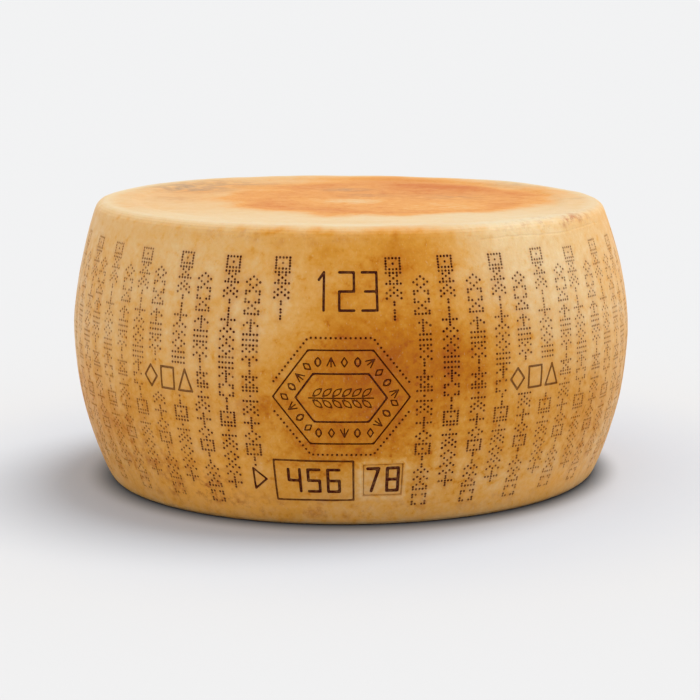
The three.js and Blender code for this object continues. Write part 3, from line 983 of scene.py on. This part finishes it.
rindLook = {
    # Paint for the tones 0 to 1, on the side and on the two faces.
    "side": [(0, "#ecd0a0"), (0.22, "#e4bb80"), (0.42, "#e0a85a"),
             (0.62, "#d69330"), (0.8, "#c47806"), (1, "#ae5c00")],
    "face": [(0, "#cdbb98"), (0.3, "#cbaa7c"), (0.6, "#cd8f48"), (1, "#b86826")],
    "gold": "#f3ab46", "ink": "#4e1300", "inkHalo": "#a04c0e", "dirt": "#9c3a02", "smoke": "#8a7a66",
    "speckPale": "#f2e2c0", "speckDark": "#7c4a1c",
    # Sizes of the patterns in millimetres, with their detail and roughness: oil patches of a few
    # centimetres down to the brush's hairs, which are drawn coarser than they are so that they show.
    "patterns": {
        "mottle": (38, 3, 0.55), "cloud": (12, 4, 0.55), "blotch": (6, 3, 0.6), "fine": (3.2, 4, 0.65),
        "wear": (2.4, 2, 0.55), "streak": (1.5, 3, 0.6), "grime": (9, 6, 0.72),
    },
    # How far each pattern shifts the tone.
    "toneOf": {"mottle": 0.36, "cloud": 0.34, "blotch": 0.2, "fine": 0.26}, "patchShare": 0.13,
    "streakSquash": 0.45, "patternLift": 50,
    "haloShare": 0.07, "bleedShare": 0.2, "speckShare": 0.15, "wornFrom": 0.5, "wornSpread": 0.9,
    "rough": 0.46, "roughSpread": 0.3, "roughFace": 0.22, "bump": 0.5, "streakRelief": 0.6,
}


# An aged rind, oiled and brushed while it ripened: dull satin, amber where the oil soaked in, cream
# where it was rubbed off, with scorched brown marks pressed into it.
def makeRind():
    look = rindLook
    material = bpy.data.materials.new("agedCheeseRindOiledBrushed")
    material.use_nodes = True
    tree = material.node_tree
    tree.nodes.clear()
    at = {}     # every value by name
    at["where"] = addNode(tree, "ShaderNodeTexCoord").outputs["Object"]
    # The two patterns that raise the surface start away from its middle, where all their sizes would meet.
    lift = (0, 0, look["patternLift"] * mm)
    squash = (1, 1, look["streakSquash"])
    at["lifted"] = addNode(tree, "ShaderNodeMapping", {"Location": lift}, {"Vector": at["where"]}).outputs[0]
    at["brushed"] = addNode(tree, "ShaderNodeMapping", {"Scale": squash}, {"Vector": at["lifted"]}).outputs[0]
    for name in extras:
        at[name] = addNode(tree, "ShaderNodeAttribute", {"attribute_name": name}).outputs["Fac"]
    for name, (size, detail, rough) in look["patterns"].items():
        place = at[{"streak": "brushed", "fine": "lifted"}.get(name, "where")]
        settings = {"Scale": 1 / (size * mm), "Detail": detail, "Roughness": rough}
        at[name] = addNode(tree, "ShaderNodeTexNoise", settings, {"Vector": place}).outputs["Fac"]

    # Soft steps: value, from, to.
    for name, source, low, high in (
        ("patch", "blotch", 0.58, 0.74), ("haze", "cloud", 0.3, 0.62), ("stuck", "grime", 0.46, 0.7),
        ("paleStreak", "streak", 0.6, 0.74), ("darkStreak", "streak", 0.38, 0.26),
        ("pressedIn", "pressed", 0.5, 0.57),
    ):
        settings = {"interpolation_type": "SMOOTHSTEP", "From Min": low, "From Max": high}
        at[name] = addNode(tree, "ShaderNodeMapRange", settings, {"Value": at[source]}).outputs[0]

    # Sums: each row names a value, the operation and what goes into it.
    sums = [("shift", "ADD", -sum(look["toneOf"].values()) / 2, 0.0)]
    sums += [("shift", "MULTIPLY_ADD", name, amount, "shift") for name, amount in look["toneOf"].items()]
    sums += [
        ("liveliness", "MULTIPLY_ADD", "calm", -1.0, 1.0),
        ("tone", "MULTIPLY_ADD", "shift", "liveliness", "stain"),
        ("patch", "MULTIPLY", "patch", "liveliness"),
        ("tone", "MULTIPLY_ADD", "patch", look["patchShare"], "tone"),
        ("smokeShare", "MULTIPLY", "smoke", "haze"),
        ("paleShare", "MULTIPLY", "paleStreak", look["speckShare"]),
        ("darkShare", "MULTIPLY", "darkStreak", look["speckShare"]),
        ("dirtShare", "MULTIPLY", "dirt", "stuck"),
        ("bled", "MULTIPLY", "bleed", "ink"),
        ("bled", "MULTIPLY", "bled", look["bleedShare"]),
        ("haloShare", "MULTIPLY_ADD", "halo", look["haloShare"], "bled"),
        ("worn", "MULTIPLY_ADD", "wear", look["wornSpread"], look["wornFrom"]),
        ("worn", "MINIMUM", "worn", 1.0),
        ("inkShare", "MULTIPLY", "pressedIn", "ink"),
        ("inkShare", "MULTIPLY", "inkShare", "worn"),
        ("rough", "MULTIPLY_ADD", "cloud", look["roughSpread"], look["rough"] - look["roughSpread"] / 2),
        ("rough", "MULTIPLY_ADD", "face", look["roughFace"], "rough"),
        ("relief", "MULTIPLY_ADD", "streak", look["streakRelief"], "fine"),
    ]
    for name, operation, *terms in sums:
        settings = {"operation": operation}
        settings.update({i: term for i, term in enumerate(terms) if not isinstance(term, str)})
        links = {i: at[term] for i, term in enumerate(terms) if isinstance(term, str)}
        at[name] = addNode(tree, "ShaderNodeMath", settings, links).outputs[0]

    for name in ("side", "face"):
        ramp = addNode(tree, "ShaderNodeValToRGB", links={"Fac": at["tone"]})
        elements = ramp.color_ramp.elements
        elements[1].position = look[name][-1][0]
        for place, _ in look[name][1:-1]:
            elements.new(place)
        for element, (_, paint) in zip(elements, look[name]):
            element.color = linear(paint)
        at[name + "Colour"] = ramp.outputs["Color"]
    colour = addNode(tree, "ShaderNodeMix", {"data_type": "RGBA"},
                     {0: at["face"], 6: at["sideColour"], 7: at["faceColour"]}).outputs[2]
    for share, paint in (
        ("gold", "gold"), ("smokeShare", "smoke"), ("paleShare", "speckPale"), ("darkShare", "speckDark"),
        ("dirtShare", "dirt"), ("haloShare", "inkHalo"), ("inkShare", "ink"),
    ):
        settings = {"data_type": "RGBA", 7: linear(look[paint])}
        colour = addNode(tree, "ShaderNodeMix", settings, {0: at[share], 6: colour}).outputs[2]

    settings = {"Strength": 0.5, "Distance": look["bump"] * mm}
    bump = addNode(tree, "ShaderNodeBump", settings, {"Height": at["relief"]})
    settings = {
        "IOR": 1.45, "Specular IOR Level": 0.2, "Subsurface Weight": 0.1, "Subsurface Scale": 0.004,
        "Subsurface Radius": (1.0, 0.5, 0.2),
    }
    shader = addNode(tree, "ShaderNodeBsdfPrincipled", settings,
                     {"Base Color": colour, "Roughness": at["rough"], "Normal": bump})
    addNode(tree, "ShaderNodeOutputMaterial", links={"Surface": shader})
    return material


rind.materials.append(makeRind())
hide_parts("cheese_wheel")
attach(cheese, "root")
print("rind: material and map done")

# The stage: a pale floor that meets the air without a line, and a soft lamp high on the right.
studio = {
    "floorRadius": 60, "floorSides": 64,
    "floorFar": (0.6, 0.602, 0.606, 1), "floorNearShade": (0.54, 0.57, 0.615, 1), "air": 0.88,
    "nearReach": 0.2, "farReach": 0.42,     # painted shade: the paper is cooler and a little darker close to the wheel, against the wheel's warm bounce light
    "contactShadeReach": (0.186, 0.218), "contactShadeShare": 0.25,     # and a painted contact shadow darkens it in a ring under the wheel's edge
    "lampStrength": 2.03, "lampAngle": 30, "lampHeight": 68, "lampSide": 128,
    "distance": 1.6789, "eyeHeight": 0.3939, "lookDown": 10.11, "turn": 0.035, "roll": -0.54, "lens": 109.1,
}


# Smooth uncoated paper, no shine, with painted shade: cooler near the wheel, and a painted contact shadow
# under its edge.
def makePaper():
    s = studio
    material = bpy.data.materials.new("matteStudioPaper")
    material.use_nodes = True
    tree = material.node_tree
    shader = tree.nodes["Principled BSDF"]
    shader.inputs["Roughness"].default_value = 0.9
    shader.inputs["Specular IOR Level"].default_value = 0.0
    where = addNode(tree, "ShaderNodeTexCoord").outputs["Object"]
    reach = addNode(tree, "ShaderNodeVectorMath", {"operation": "LENGTH"}, {0: where}).outputs["Value"]
    # Painted shade: towards the wheel the paper turns cooler and a little darker, to cancel the wheel's warm
    # bounce light.
    limits = {"interpolation_type": "SMOOTHSTEP", "From Min": s["nearReach"], "From Max": s["farReach"]}
    share = addNode(tree, "ShaderNodeMapRange", limits, {"Value": reach})
    colours = {"data_type": "RGBA", 6: s["floorNearShade"], 7: s["floorFar"]}
    paper = addNode(tree, "ShaderNodeMix", colours, {0: share})
    # Painted contact shadow: the paper's colour is multiplied darker in a thin ring just under the wheel's
    # edge.
    limits = {"interpolation_type": "SMOOTHSTEP", "To Min": s["contactShadeShare"],
              "From Min": s["contactShadeReach"][0], "From Max": s["contactShadeReach"][1]}
    contactShade = addNode(tree, "ShaderNodeMapRange", limits, {"Value": reach})
    shaded = addNode(tree, "ShaderNodeMix", {"data_type": "RGBA", "blend_type": "MULTIPLY", 0: 1.0},
                     {6: paper.outputs[2], 7: contactShade})
    tree.links.new(shaded.outputs[2], shader.inputs["Base Color"])
    return material


def makeStage():
    s = studio
    angles = [i * 2 * math.pi / s["floorSides"] for i in range(s["floorSides"])]
    points = [(s["floorRadius"] * math.cos(a), s["floorRadius"] * math.sin(a), 0) for a in angles]
    made = bpy.data.meshes.new("studioFloor")
    made.from_pydata(points, [], [list(range(s["floorSides"]))])
    made.materials.append(makePaper())
    floor = bpy.data.objects.new("studioFloor", made)
    bpy.context.scene.collection.objects.link(floor)
    world = bpy.data.worlds.new("studioAir")
    world.use_nodes = True
    world.node_tree.nodes["Background"].inputs["Color"].default_value = (s["air"],) * 3 + (1,)
    bpy.context.scene.world = world
    lamp = bpy.data.objects.new("softLamp", bpy.data.lights.new("softLamp", "SUN"))
    lamp.data.energy = s["lampStrength"]
    lamp.data.angle = math.radians(s["lampAngle"])
    up, side = math.radians(s["lampHeight"]), math.radians(s["lampSide"])
    towards = Vector((math.cos(up) * math.sin(side), -math.cos(up) * math.cos(side), math.sin(up)))
    lamp.rotation_euler = towards.to_track_quat("Z", "Y").to_euler()
    bpy.context.scene.collection.objects.link(lamp)
    bpy.context.scene.view_settings.view_transform = "Standard"


def makeCamera():
    s = studio
    camera = bpy.data.objects.new("viewCamera", bpy.data.cameras.new("viewCamera"))
    camera.data.lens = s["lens"]
    camera.data.sensor_width = 36
    camera.data.clip_end = 200
    aim = Euler((math.radians(90 - s["lookDown"]), 0, math.radians(s["turn"]))).to_matrix()
    aim = aim @ Matrix.Rotation(math.radians(s["roll"]), 3, "Z")
    camera.matrix_world = Matrix.Translation((0, -s["distance"], s["eyeHeight"])) @ aim.to_4x4()
    bpy.context.scene.collection.objects.link(camera)
    bpy.context.scene.camera = camera


makeStage()
makeCamera()
print("stage: floor, air, lamp and camera done")


def plain(bounds):
    return [[float(v) for v in corner] for corner in bounds]
